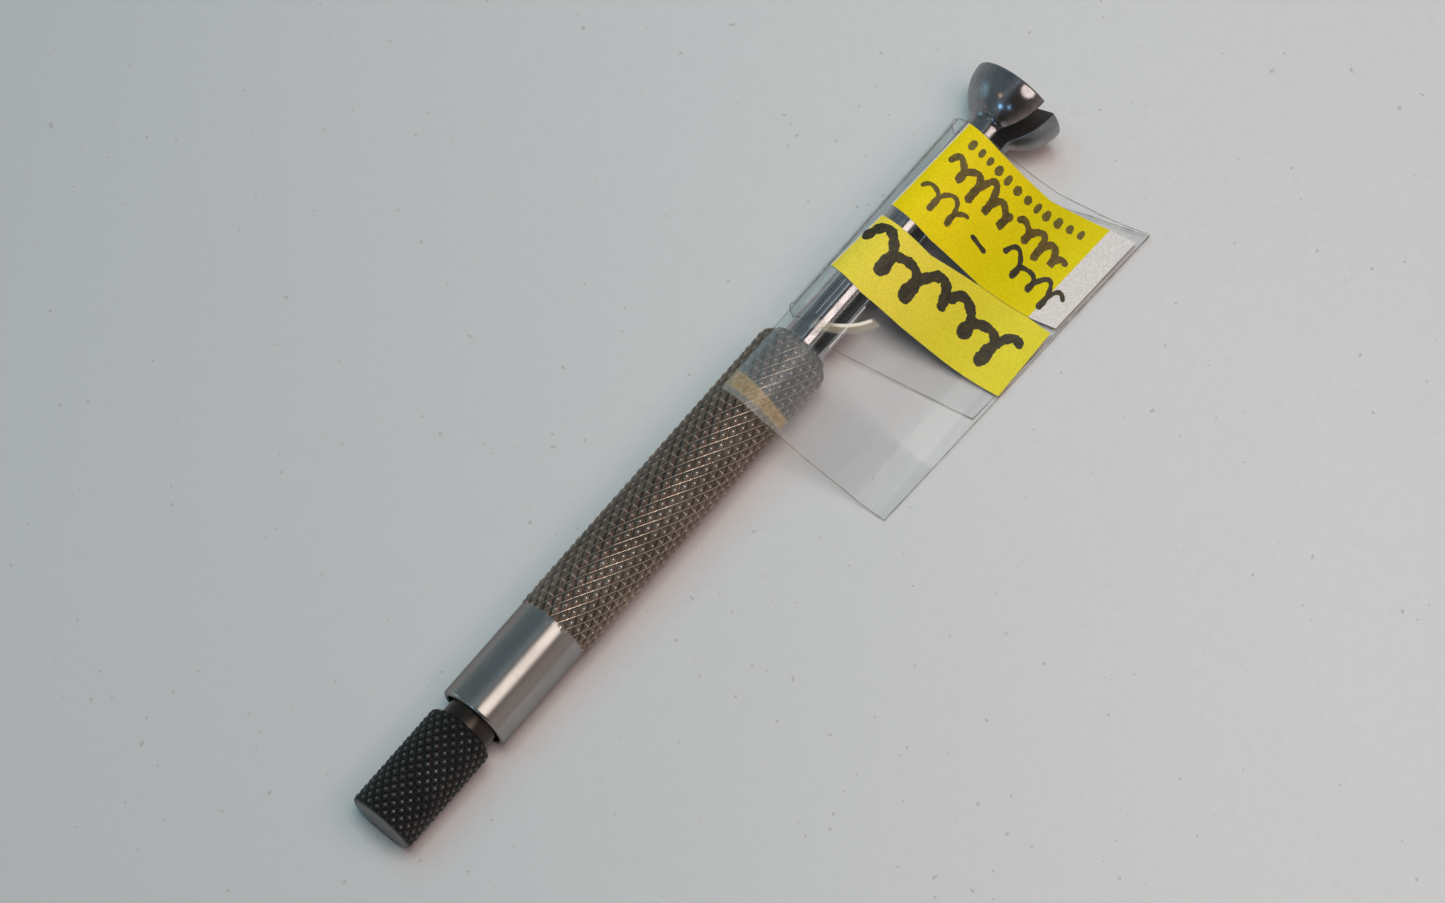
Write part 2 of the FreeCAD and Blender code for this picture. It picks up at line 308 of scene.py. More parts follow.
# ------------------------------------------------------------------ metals
def knurled_steel():
    m = Shader("knurled_steel")
    height, groove_a, groove_b = m.knurl(**GRIP_KNURL)
    grime = m.noise(scale=900, detail=4, seed=3)
    fine = m.noise(scale=4200, rough=0.65, seed=13)
    broad = m.noise(scale=140, seed=9)
    dirt = m.ramp(m.noise(scale=520, seed=31), at=(0.36, 0.66))
    # faces of the diamonds: brown-grey, with grime patches and fine specks
    body = m.mix(m.ramp(broad, at=(0.35, 0.65)), (0.272, 0.200, 0.158), (0.395, 0.300, 0.240))
    body = m.mix(m.ramp(grime, at=(0.42, 0.72), to=(0, 0.6)), body, (0.11, 0.085, 0.066))
    body = m.mix(m.ramp(fine, at=(0.40, 0.62), to=(0.25, 0)), body, (0.075, 0.058, 0.046))
    # darker low down, and painted shade beside the grooves of one hand
    low = m.mask(height, off=0.50, on=0.15)
    body = m.mix(low, body, (0.060, 0.047, 0.037), amount=0.62)
    dark = m.mask(groove_a, off=0.30, on=0.12)
    body = m.mix(dark, body, (0.030, 0.024, 0.019), amount=0.70)
    # painted highlight along the groove bottoms, strong in one hand and faint in the other,
    # broken by dirt
    groove_highlight_b = m.mul(m.mask(groove_b, off=0.150, on=0.085), m.sub(1.0, m.mul(dirt, 0.30)))
    groove_highlight_a = m.mul(m.mask(groove_a, off=0.150, on=0.085), m.sub(0.20, m.mul(dirt, 0.20)))
    color = m.mix(m.max(groove_highlight_b, groove_highlight_a), body, (0.55, 0.455, 0.37))
    # the points are rubbed bright, and carry a painted highlight as well
    tip = m.mask(height, off=0.80, on=0.88)
    color = m.mix(tip, color, (0.80, 0.73, 0.67), amount=0.95)
    shiny = m.max(tip, m.mul(m.max(groove_highlight_b, groove_highlight_a), 0.6))
    # grime roughens, rubbing smooths
    rough = m.sub(m.add(m.mul(grime, 0.22), 0.175), m.mul(shiny, 0.10))
    return m.principled(color, metallic=m.add(0.80, m.mul(shiny, 0.18)), rough=rough,
                        normal=m.bump(fine, strength=0.45, depth=0.000014))


def ground_steel():
    m = Shader("ground_steel")
    turning = m.lines(along=60000, across=400, seed=1)
    stain = m.noise(scale=260, detail=4, seed=5)
    scratches = m.lines(along=2500, across=9000, seed=8)
    color = m.mix(m.ramp(stain, at=(0.45, 0.75), to=(0, 0.5)),
                  (0.395, 0.375, 0.362), (0.30, 0.275, 0.262))
    # turning marks and stain both roughen a 0.15 base
    rough = m.add(m.add(m.mul(turning, 0.08), m.mul(stain, 0.12)), 0.15)
    normal = m.bump(turning, strength=0.10, depth=0.000006)
    normal = m.bump(scratches, strength=0.05, depth=0.00001, normal=normal)
    return m.principled(color, metallic=1.0, rough=rough, normal=normal,
                        Specular_Tint=(0.52, 0.50, 0.49))


def polished_gauge_steel():
    m = Shader("polished_gauge_steel")
    x, y, z = m.xyz()
    mottle = m.noise(scale=750, detail=5, rough=0.65, seed=4)
    cloud = m.noise(scale=230, seed=11)
    spots = m.noise(scale=3800, detail=2, rough=0.5, seed=6)
    fine = m.noise(scale=2600, detail=4, rough=0.7, seed=23)
    ball = m.mask(x, off=station(73.6), on=station(75.4))
    # the ball is dulled on its +y side, along a cloudy border, and below the slot
    side = m.mask(m.add(y, m.mul(m.sub(cloud, 0.5), 0.004)), off=0.0006, on=0.0034)
    above = m.add(m.mul(y, float(SLOT_NORMAL[1])), m.mul(z, float(SLOT_NORMAL[2])))
    under = m.mask(above, off=0.0002, on=-0.0012)
    dull = m.mul(m.max(side, m.mul(under, 0.9)), ball)
    # mottled steel, then the dull film, fine specks on the ball, spots, and a darker ball
    color = m.mix(m.ramp(mottle, at=(0.4, 0.7), to=(0, 0.6)),
                  (0.42, 0.39, 0.40), (0.22, 0.205, 0.21))
    color = m.mix(m.mul(dull, m.ramp(mottle, at=(0.35, 0.65), to=(0.30, 0.95))), color,
                  (0.30, 0.315, 0.32))
    color = m.mix(m.mul(ball, m.ramp(fine, at=(0.55, 0.70), to=(0, 0.6))), color,
                  (0.17, 0.155, 0.15))
    color = m.mix(m.ramp(spots, at=(0.66, 0.72), to=(0, 0.8)), color, (0.10, 0.09, 0.085))
    color = m.mix(ball, color, (0.030, 0.033, 0.036), amount=0.20)
    # a 0.10 base, roughened by dulling, over the ball and in the mottle
    rough = m.add(0.10, m.mul(dull, 0.22), m.mul(ball, 0.05),
                  m.mul(m.ramp(mottle, at=(0.45, 0.8)), 0.14))
    normal = m.bump(m.lines(along=30000, across=1200, seed=12), strength=0.07, depth=0.000005)
    normal = m.bump(mottle, strength=0.07, depth=0.00003, normal=normal)
    return m.principled(color, metallic=m.sub(1.0, m.mul(dull, 0.08)), rough=rough,
                        normal=normal)


def sawn_slot_face():
    m = Shader("sawn_slot_face")
    marks = m.lines(along=3000, across=16000, seed=3, rough=0.6)
    color = m.mix(m.ramp(marks, at=(0.4, 0.65)), (0.055, 0.045, 0.042), (0.13, 0.11, 0.10))
    return m.principled(color, metallic=0.8, rough=0.5,
                        normal=m.bump(marks, strength=0.4, depth=0.00002))


def ground_rod():
    m = Shader("ground_rod")
    marks = m.lines(along=50000, across=500, seed=2)
    return m.principled(m.mix(marks, (0.42, 0.42, 0.43), (0.56, 0.55, 0.54)), metallic=1.0,
                        rough=m.add(0.16, m.mul(marks, 0.15)),
                        normal=m.bump(marks, strength=0.2, depth=0.000006))


def black_oxide():
    m = Shader("black_oxide")
    height = m.knurl(**KNOB_KNURL)[0]
    outer = m.mask(m.radius(), off=0.003150, on=0.003250)
    dust = m.noise(scale=1500, detail=4, rough=0.65, seed=7)
    blotch = m.noise(scale=300, seed=2)
    wear = m.ramp(m.noise(scale=420, seed=17), at=(0.38, 0.62), to=(0.25, 1))
    # blotchy black, dust, painted shade in the grooves, and worn points
    color = m.mix(m.ramp(blotch, at=(0.35, 0.65)), (0.030, 0.029, 0.029), (0.056, 0.052, 0.049))
    color = m.mix(m.ramp(dust, at=(0.55, 0.75), to=(0, 0.5)), color, (0.10, 0.092, 0.084))
    groove = m.mul(m.mask(height, off=0.55, on=0.10), outer)
    color = m.mix(groove, color, (0.006, 0.006, 0.006), amount=0.8)
    tip = m.mul(m.mask(height, off=0.70, on=0.80), outer, wear)
    color = m.mix(tip, color, (0.27, 0.25, 0.23))
    # the neck and thread, in front of the knob, are browner and shinier
    x = m.xyz()[0]
    neck = m.mask(x, off=(KNOB_FRONT - 0.02) * MM, on=(KNOB_FRONT + 0.10) * MM)
    color = m.mix(neck, color, (0.060, 0.050, 0.042))
    # dust roughens a 0.30 base; worn points and the neck are smoother
    rough = m.sub(m.add(0.30, m.mul(dust, 0.26)), m.mul(tip, 0.26), m.mul(neck, 0.12))
    bare = m.max(tip, m.mul(neck, 0.9))
    grain = m.noise(scale=12000, seed=1)
    return m.principled(color, metallic=m.add(0.62, m.mul(bare, 0.36)), rough=rough,
                        normal=m.bump(grain, strength=0.4, depth=0.000012))


def black_oxide_worn_end():
    m = Shader("black_oxide_worn_end")
    wave = m.node("ShaderNodeTexWave")       # turning rings about the axis
    wave.wave_type = "RINGS"
    wave.rings_direction = "X"
    m.link(m.coords, wave.inputs["Vector"])
    wave.inputs["Scale"].default_value = 5200
    wave.inputs["Distortion"].default_value = 1.5
    wave.inputs["Detail"].default_value = 2
    wave.inputs["Detail Scale"].default_value = 900
    dust = m.noise(scale=1300, detail=4, rough=0.65, seed=3)
    color = m.mix(m.ramp(dust, at=(0.35, 0.7)), (0.085, 0.080, 0.083), (0.20, 0.188, 0.190))
    # painted shade: darker round the rim of the end face, where it rounds off
    color = m.mix(m.mask(m.radius(), off=0.0029, on=0.0034), color, (0.05, 0.047, 0.045))
    return m.principled(color, metallic=0.75, rough=m.add(0.34, m.mul(dust, 0.2)),
                        normal=m.bump(wave.outputs["Fac"], strength=0.25, depth=0.000008))


# ------------------------------------------------------------------ film, paper, ink, table
FILM_COLOR = (0.72, 0.76, 0.78)
FILM_HAZE = 0.007                 # share of light the haze scatters
# Creases where the film is drawn round the shank, drawn as painted highlight and reflection
# streaks:
# y, half width, x from and to (from REAR), strength, colour
CREASE_HIGHLIGHTS = [
    (-2.86, 0.045, 49.7, 55.3, 0.70, (1.0, 0.95, 0.92)),
    (-0.33, 0.035, 49.7, 55.9, 0.22, (0.80, 0.93, 0.98)),
    (0.20, 0.045, 51.4, 56.0, 0.30, (0.55, 0.72, 0.78)),
    (1.10, 0.06, 49.7, 56.2, 0.26, (0.42, 0.64, 0.68)),
    (1.80, 0.22, 51.5, 56.2, 0.24, (0.66, 0.70, 0.69)),
]


def film_marks(m, streak, haze_and_glint):
    """Ageing of the upper leaf, with painted highlights and reflections on it. Returns the share
    of light it scatters, painted glints included, and its colour.
    """
    x, y, _ = m.xyz()
    grain = m.noise(scale=2600, detail=4, rough=0.7, seed=19)
    # milky over the handle
    on_handle = m.mask(x, off=station(49.0), on=station(48.3))
    haze_and_glint = m.add(haze_and_glint, m.mul(on_handle, m.add(0.060, m.mul(grain, 0.05))))
    color = m.mix(on_handle, FILM_COLOR, (0.50, 0.57, 0.60))
    # pale rim at the rear edge
    rim = m.mask(x, off=station(40.75), on=station(40.45))
    haze_and_glint = m.add(haze_and_glint, m.mul(rim, 0.085))
    color = m.mix(rim, color, (0.60, 0.60, 0.55))
    # dried-out brown band just in front of it, slanting with y, its front border ragged
    slanted = m.add(m.sub(x, m.mul(y, 0.11)), m.mul(m.sub(grain, 0.5), 0.0007))
    band = m.mul(m.mask(x, off=station(40.40), on=station(40.72)),
                 m.mask(slanted, off=station(42.32), on=station(42.05)),
                 m.mask(y, off=-0.0047, on=-0.0041))
    haze_and_glint = m.add(haze_and_glint, m.mul(band, m.ramp(grain, at=(0.32, 0.62), to=(0.06, 0.36))))
    color = m.mix(band, color, (0.66, 0.50, 0.30))
    # painted highlight where it crosses the shank: a glint arc, with a whiter core along its
    # inside
    from_x = m.sub(x, station(57.60))
    from_y = m.sub(y, 2.75 * MM)
    arc = m.math("SQRT", m.add(m.mul(from_x, from_x), m.mul(from_y, from_y)))
    reach = m.mul(m.mask(x, off=station(55.25), on=station(54.85)),
                  m.mask(y, off=0.0002, on=-0.0010))
    wide = m.mul(m.mask(arc, off=0.00718, on=0.00732), m.mask(arc, off=0.00830, on=0.00795),
                 reach)
    core = m.mul(m.mul(m.mask(arc, off=0.00720, on=0.00730),
                       m.mask(arc, off=0.00762, on=0.00745)),
                 m.mul(m.mask(x, off=station(54.95), on=station(54.70)),
                       m.mask(y, off=-0.0012, on=-0.0026)))
    haze_and_glint = m.add(haze_and_glint, m.mul(wide, 0.20), m.mul(core, 0.80))
    color = m.mix(wide, color, (0.74, 0.68, 0.50))
    color = m.mix(core, color, (1.0, 0.97, 0.84))
    # painted highlight and reflection streaks along the creases
    for crease_y, half_width, x_from, x_to, strength, tone in CREASE_HIGHLIGHTS:
        length = m.mul(m.mask(x, off=station(x_from - 0.1), on=station(x_from + 0.3)),
                       m.mask(x, off=station(x_to + 0.2), on=station(x_to - 0.1)))
        away = m.math("ABSOLUTE", m.sub(y, crease_y * MM))
        crease_highlight = m.mul(m.mask(away, off=half_width * 1.9 * MM, on=half_width * 0.7 * MM),
                       length, strength)
        haze_and_glint = m.add(haze_and_glint, m.mul(crease_highlight, m.ramp(streak, at=(0.35, 0.6), to=(1, 0.55))))
        color = m.mix(m.math("MINIMUM", m.mul(crease_highlight, 3.0), 1.0), color, tone)
    return haze_and_glint, color


def clear_film(name, marked):
    """Clear film: nearly all light goes straight through, a little is scattered or mirrored."""
    m = Shader(name)
    clear = m.node("ShaderNodeBsdfTransparent")
    m.put(clear.inputs[0], (0.992, 0.995, 0.995))
    haze = m.noise(scale=420, detail=4, seed=5)
    streak = m.noise(scale=1.0, rough=0.55, stretch=(90, 520, 260), seed=14, warp=0.6)
    gloss = m.node("ShaderNodeBsdfGlossy")
    m.put(gloss.inputs["Color"], (1, 1, 1))
    m.put(gloss.inputs["Roughness"], m.add(0.035, m.mul(haze, 0.05)))
    ripple = m.noise(scale=160, detail=2, rough=0.5, seed=9)
    m.link(m.bump(ripple, strength=0.12, depth=0.0003), gloss.inputs["Normal"])
    haze_and_glint = m.add(FILM_HAZE * 0.4, m.mul(m.ramp(haze, at=(0.35, 0.8)), FILM_HAZE),
                  m.mul(m.ramp(streak, at=(0.52, 0.68)), 0.022))
    color = FILM_COLOR
    if marked:
        haze_and_glint, color = film_marks(m, streak, haze_and_glint)
    scatter = m.node("ShaderNodeBsdfDiffuse")
    m.put(scatter.inputs[0], color)
    haze_and_glint = m.math("MINIMUM", haze_and_glint, 0.92)
    fresnel = m.node("ShaderNodeFresnel")
    fresnel.inputs[0].default_value = 1.45   # refractive index
    body = m.blend(haze_and_glint, clear.outputs[0], scatter.outputs[0])
    return m.finish(m.blend(m.mul(fresnel.outputs[0], 0.32), body, gloss.outputs[0]))


def film_cut_edge():
    m = Shader("film_cut_edge")
    clear = m.node("ShaderNodeBsdfTransparent")
    m.put(clear.inputs[0], (0.90, 0.88, 0.85))
    # painted shade: the brown share stands for the dark line that refraction draws along the cut
    # edge
    brown = m.node("ShaderNodeBsdfPrincipled")
    m.put(brown.inputs["Base Color"], (0.23, 0.20, 0.175))
    brown.inputs["Roughness"].default_value = 0.25
    share = m.ramp(m.noise(scale=700, seed=2), at=(0.32, 0.68), to=(0.08, 0.44))
    return m.finish(m.blend(share, clear.outputs[0], brown.outputs[0]))


def paper(name, color, dark=None, far=None, white=None):
    """Label paper flecked with dark. far is its colour towards -y, and white that of the strip
    at its -y edge."""
    m = Shader(name)
    fibre = m.noise(scale=5200, detail=4, rough=0.7, seed=3)
    cloud = m.noise(scale=300, seed=8)
    if far is not None:
        color = m.mix(m.mask(m.xyz()[1], off=-0.003, on=-0.010), color, far)
        dark = m.mix(0.84, (0.0, 0.0, 0.0), color)
    color = m.mix(m.ramp(fibre, at=(0.42, 0.62)), color, dark)
    color = m.mix(m.ramp(cloud, at=(0.4, 0.7), to=(0, 0.35)), color, dark)
    if white is not None:
        # the strip's border slants by 0.038 in x and wavers with the fibres
        x, y, _ = m.xyz()
        border = m.add(y, m.mul(m.sub(x, 0.0606), 0.038), m.mul(m.sub(fibre, 0.5), 0.00012))
        strip = m.math("LESS_THAN", border, -0.01435)
        flecked = m.mix(m.ramp(fibre, at=(0.40, 0.60)), white, tuple(c * 0.80 for c in white))
        color = m.mix(strip, color, flecked)
    return m.principled(color, metallic=0.0, rough=0.55, Specular_IOR_Level=0.20,
                        normal=m.bump(fibre, strength=0.25, depth=0.00002))


def ink(name, color, thin):
    """Marker ink, with patches of a thinner colour."""
    m = Shader(name)
    patches = m.noise(scale=2600, rough=0.7, seed=4)
    return m.principled(m.mix(m.ramp(patches, at=(0.35, 0.75)), color, thin),
                        metallic=0.0, rough=0.5,
                        normal=m.bump(patches, strength=0.15, depth=0.00001))


def pale_table():
    m = Shader("pale_table")
    x, y, _ = m.xyz()
    clouds = m.noise(scale=9, detail=4, rough=0.55, seed=2)
    fine = m.noise(scale=900, seed=5)
    spots = m.noise(scale=1500, detail=0, rough=0.4, seed=21)
    # painted light: lighter towards +x and -y, then clouds, fine grain and small dark spots
    painted_light_slope = m.add(m.mul(x, 0.827), m.mul(y, -0.562))
    color = m.mix(m.mask(painted_light_slope, off=-0.050, on=0.090),
                  (0.535, 0.545, 0.552), (0.715, 0.712, 0.710))
    color = m.mix(m.ramp(clouds, at=(0.35, 0.7), to=(0, 0.22)), color, (0.60, 0.603, 0.607))
    color = m.mix(m.ramp(fine, at=(0.45, 0.7), to=(0, 0.10)), color, (0.50, 0.50, 0.50))
    color = m.mix(m.ramp(spots, at=(0.838, 0.862), to=(0, 0.5)), color, (0.34, 0.32, 0.30))
    return m.principled(color, metallic=0.0, rough=0.55, Specular_IOR_Level=0.25,
                        normal=m.bump(fine, strength=0.08, depth=0.0001))


KNURLED, GROUND, CONTACT = knurled_steel(), ground_steel(), polished_gauge_steel()
SAWN, ROD = sawn_slot_face(), ground_rod()
BLACK, BLACK_END = black_oxide(), black_oxide_worn_end()

# ------------------------------------------------------------------ handle
R_COUNTERBORE = R_SHANK + 0.20
# Bore from the rear: distance from REAR, radius
BORE = [(0, 3.30), (0.09, 3.21), (0.30, 3.20), (6, 3.20), (15.8, 3.20), (16.6, 1.38),
        (27.0, 1.38), (27.0, R_SHANK), (43.0, R_SHANK), (43.2, R_COUNTERBORE)]
CHAMFER_STEPS, GRIP_STEPS, SLEEVE_STEPS, ROUND_STEPS = 18, 620, 24, 9
SLEEVE_ROUND_X, SLEEVE_ROUND_R = 0.34, 0.36   # rounding of the sleeve's rear edge


def grip_relief(x, angles):
    return diamonds(x, angles, GRIP_KNURL, floor=0.12, rise=0.72, depth=0.255)


def handle_rows():
    """Closed profile: forward along the bore, then back along the outside."""
    rows = [(REAR + x, r, plain) for x, r in BORE]
    rows += [(HANDLE_FRONT - 0.12, R_COUNTERBORE, plain), (HANDLE_FRONT, R_SHANK + 0.30, plain),
             (HANDLE_FRONT, R_FRONT - 0.08, plain)]
    for i in range(CHAMFER_STEPS + 1):
        u = i / CHAMFER_STEPS
        rows.append((HANDLE_FRONT + (GRIP_CHAMFER - HANDLE_FRONT) * u,
                     R_FRONT + (R_GRIP - R_FRONT) * u, grip_relief))
    for i in range(1, GRIP_STEPS + 1):
        x = GRIP_CHAMFER + (SLEEVE_END + 0.10 - GRIP_CHAMFER) * i / GRIP_STEPS
        rows.append((x, R_GRIP, grip_relief))
    round_start = REAR + SLEEVE_ROUND_X
    for i in range(SLEEVE_STEPS):
        x = SLEEVE_END + (round_start - SLEEVE_END) * i / SLEEVE_STEPS
        rows.append((x, R_SLEEVE, plain))
    for i in range(ROUND_STEPS + 1):
        a = math.radians(90 * i / ROUND_STEPS)
        rows.append((round_start - SLEEVE_ROUND_X * math.sin(a),
                     R_SLEEVE - SLEEVE_ROUND_R + SLEEVE_ROUND_R * math.cos(a), plain))
    return rows


handle = turned("handle_knurled", handle_rows(), 504, [KNURLED, GROUND],
                lambda x: 0 if x > SLEEVE_END + 0.05 else 1, sharp=40, closed=True)
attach(handle, "handle")
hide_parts("handle")

# ------------------------------------------------------------------ adjusting screw
END_STEPS, EDGE_STEPS, KNOB_STEPS, TAPER_STEPS, THREAD_STEPS = 10, 6, 190, 8, 240
KNOB_EDGE_X, KNOB_EDGE_R = 0.30, 0.34   # rounding of the knob's rear edge
KNOB_TAPER = 0.5                        # 45 degree chamfer at its front
R_THREAD, R_THREAD_ROOT = 3.15, 2.79
THREAD_PITCH, THREAD_START, THREAD_LENGTH = 0.635, 1.5, 10.3
# In front of the thread: distance from REAR, radius
SCREW_TIP = [(11.9, R_THREAD_ROOT), (12.2, R_THREAD_ROOT), (12.6, 1.9), (13.8, 1.9), (14.0, 1.7)]


def knob_relief(x, angles):
    return diamonds(x, angles, KNOB_KNURL, floor=0.05, rise=0.70, depth=0.24)


def thread_relief(x, angles):
    phase = (x / THREAD_PITCH - angles / (2 * math.pi)) % 1.0
    off_crest = np.abs(phase - 0.5) * 2
    return (R_THREAD - R_THREAD_ROOT) * np.clip((off_crest - 0.14) / 0.70, 0, 1)


def screw_rows():
    """Open profile from the middle of the knob's rear face forward."""
    r_end = R_KNOB - KNOB_EDGE_R
    rows = [(KNOB_REAR, r_end * (i + 1) / END_STEPS, plain) for i in range(END_STEPS)]
    for i in range(1, EDGE_STEPS + 1):
        u = i / EDGE_STEPS
        rows.append((KNOB_REAR + KNOB_EDGE_X * u,
                     r_end + KNOB_EDGE_R * math.sin(u * math.pi / 2),
                     knob_relief if u > 0.5 else plain))
    taper_start = KNOB_FRONT - KNOB_TAPER
    for i in range(1, KNOB_STEPS + 1):
        x = KNOB_REAR + KNOB_EDGE_X + (taper_start - KNOB_REAR - KNOB_EDGE_X) * i / KNOB_STEPS
        rows.append((x, R_KNOB, knob_relief))
    for i in range(1, TAPER_STEPS + 1):
        u = i / TAPER_STEPS
        rows.append((taper_start + KNOB_TAPER * u, R_KNOB - KNOB_TAPER * u, knob_relief))
    rows += [(KNOB_FRONT, R_NECK + 0.12, plain), (KNOB_FRONT + 0.12, R_NECK, plain),
             (REAR + 1.0, R_NECK, plain),
             (REAR + 1.1, R_THREAD_ROOT, plain), (REAR + 1.4, R_THREAD_ROOT, plain)]
    for i in range(THREAD_STEPS + 1):
        x = REAR + THREAD_START + THREAD_LENGTH * i / THREAD_STEPS
        rows.append((x, R_THREAD, thread_relief))
    return rows + [(REAR + x, r, plain) for x, r in SCREW_TIP]


screw = turned("adjusting_screw_knurled", screw_rows(), 336, [BLACK, BLACK_END],
               lambda x: 1 if x < KNOB_REAR + 0.12 else 0, sharp=38, closed=False)
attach(screw, "adjusting_screw")
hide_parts("adjusting_screw")

# ------------------------------------------------------------------ split shank and half ball
FILLET = 1.1                      # between shank and ball
RIM = 0.22                        # rounding of the ball's front edge
BEVEL, ROOT_BEVEL = 0.10, 0.02    # along the slot's edges: in front of the root, and at it
ROOT_HEIGHT = 0.72                # least height of a half behind the pivot
ARC_POINTS, GROOVE_POINTS, FLAT_POINTS = 72, 9, 5


def half_profile():
    """Rows (x, radius) from behind the pivot to the head's flat end, and how many of them
    have the groove."""
    rows = [(PIVOT - back, R_SHANK) for back in (2.33, 2.1, 1.6, 0.9, 0)]
    rows += [(PIVOT + (SEAT - PIVOT) * i / 12, R_SHANK) for i in range(1, 13)]
    grooved = len(rows)
    # the fillet's centre, and where it meets the ball
    fillet_r = R_SHANK + FILLET
    fillet_x = HEAD_END - math.sqrt((R_BALL + FILLET) ** 2 - fillet_r ** 2)
    meet_x = HEAD_END + (fillet_x - HEAD_END) * R_BALL / (R_BALL + FILLET)
    meet_r = fillet_r * R_BALL / (R_BALL + FILLET)
    rows.append((SEAT + 0.001, R_SHANK))
    rows += [(SEAT + (fillet_x - SEAT) * i / 12, R_SHANK) for i in range(1, 13)]
    start = -90.0
    end = math.degrees(math.atan2(meet_r - fillet_r, meet_x - fillet_x))
    for i in range(1, 15):
        a = math.radians(start + (end - start) * i / 14)
        rows.append((fillet_x + FILLET * math.cos(a), fillet_r + FILLET * math.sin(a)))
    start = math.degrees(math.asin((HEAD_END - meet_x) / R_BALL))
    end = math.degrees(math.asin(RIM / (R_BALL - RIM)))
    for i in range(1, 71):
        a = math.radians(start + (end - start) * i / 70)
        rows.append((HEAD_END - R_BALL * math.sin(a), R_BALL * math.cos(a)))
    rim_x = HEAD_END - RIM
    rim_r = math.sqrt((R_BALL - RIM) ** 2 - RIM ** 2)
    start = math.atan2(rows[-1][1] - rim_r, rows[-1][0] - rim_x)
    for i in range(1, 13):
        a = start * (1 - i / 12)
        rows.append((rim_x + RIM * math.cos(a), rim_r + RIM * math.sin(a)))
    rows.append((HEAD_END, rim_r * 0.97))
    return rows, grooved


def half_section(x, r, grooved):
    """Section of one half as (distance off the slot plane, distance along it)."""
    wide = r > HALF_SLOT + BEVEL + 0.05 and x > PIVOT + 4
    bevel = BEVEL if wide else ROOT_BEVEL
    spread = math.acos((HALF_SLOT + bevel) / r)
    flat_end = math.sqrt(r * r - (HALF_SLOT + bevel) ** 2) - bevel
    groove_end = math.sqrt(R_GROOVE ** 2 - HALF_SLOT * HALF_SLOT)
    points = []
    for k in range(ARC_POINTS):
        a = spread - 2 * spread * k / (ARC_POINTS - 1)
        points.append([r * math.cos(a), r * math.sin(a)])
    for k in range(FLAT_POINTS):
        points.append([HALF_SLOT, -flat_end + (flat_end - groove_end) * k / FLAT_POINTS])
    for k in range(GROOVE_POINTS):
        along = -groove_end + 2 * groove_end * k / (GROOVE_POINTS - 1)
        depth = HALF_SLOT
        if grooved:
            depth = math.sqrt(max(R_GROOVE ** 2 - along * along, HALF_SLOT * HALF_SLOT))
        points.append([depth, along])
    for k in range(FLAT_POINTS):
        points.append([HALF_SLOT, groove_end + (flat_end - groove_end) * (k + 1) / FLAT_POINTS])
    points = np.array(points)
    if x < PIVOT:   # rounded off behind the pivot
        top = math.sqrt(max(R_SHANK ** 2 - (x - PIVOT) ** 2, ROOT_HEIGHT ** 2))
        points[:, 0] = np.minimum(points[:, 0], top)
    return points


def half(name, side, node):
    """One half of the split shank; side is +1 above the slot and -1 below it."""
    rows, grooved = half_profile()
    rings = []
    for i, (x, r) in enumerate(rows):
        points = half_section(x, r, i < grooved)
        rings.append(np.array([x, 0, 0]) + side * points[:, :1] * SLOT_NORMAL
                     + points[:, 1:] * SLOT_ALONG)
    around = len(rings[0])
    verts = np.array(rings).reshape(-1, 3)
    faces = tube_faces(len(rows), around)
    # sawn inside the slot; the arc and both bevels are polished
    face_mats = [0 if j < ARC_POINTS or j == around - 1 else 1 for j in range(around)]
    face_mats = face_mats * (len(rows) - 1) + [0] * (2 * around)
    for i in (0, len(rows) - 1):
        faces += cap_faces(i, around, len(verts))
        verts = np.vstack([verts, [verts[i * around:(i + 1) * around].mean(0)]])
    pivot = np.array([PIVOT, 0, 0])
    opening = np.array(Matrix.Rotation(side * REST_OPEN, 3, Vector(SLOT_ALONG)))
    verts = (verts - pivot) @ opening.T + pivot
    obj = make(name, verts, faces, [CONTACT, SAWN], face_mats, sharp=32)
    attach(obj, node)
    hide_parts(node)


half("upper_half_polished", +1, "upper_contact_half")
half("lower_half_polished", -1, "lower_contact_half")

# pieces kept from the CAD
for node, mat in (("shank_root", CONTACT), ("push_rod", ROD)):
    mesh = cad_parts[node].data
    mesh.materials.clear()
    mesh.materials.append(mat)

# ------------------------------------------------------------------ tag sections
R_TAG, FILM_T, LABEL_T = 4.00, 0.10, 0.09
LABEL_BASE = FILM_T + 0.01        # labels lie just clear of the film
LABEL_TOP = LABEL_BASE + LABEL_T
# Sections (y, z), starting at the handle and running out to -y
TOP_LEAF = [(-3.6, 2.75), (-5.2, 1.75), (-7.2, 0.35), (-9.5, -1.35), (-12.0, -2.95),
            (-14.5, -3.95), (-18.6, -4.33), (-22.0, -4.36)]
TOP = [(R_TAG * math.cos(math.radians(a)), R_TAG * math.sin(math.radians(a)))
       for a in range(50, 116, 5)]
TOP += [(y, z - FILM_T) for y, z in TOP_LEAF]
UNDER = [(2.40, 3.235), (2.66, 3.00), (3.03, 2.30), (3.20, 1.20), (3.12, 0.0), (2.75, -1.2),
         (2.1, -2.35), (1.1, -3.15), (0.0, -3.5), (-1.5, -3.70), (-4.0, -3.88), (-8.0, -4.12),
         (-12.0, -4.40), (-15.0, -4.50), (-18.6, -4.50), (-22.0, -4.50)]


def path_lengths(points):
    return np.r_[0, np.cumsum(np.hypot(*np.diff(points, axis=0).T))]


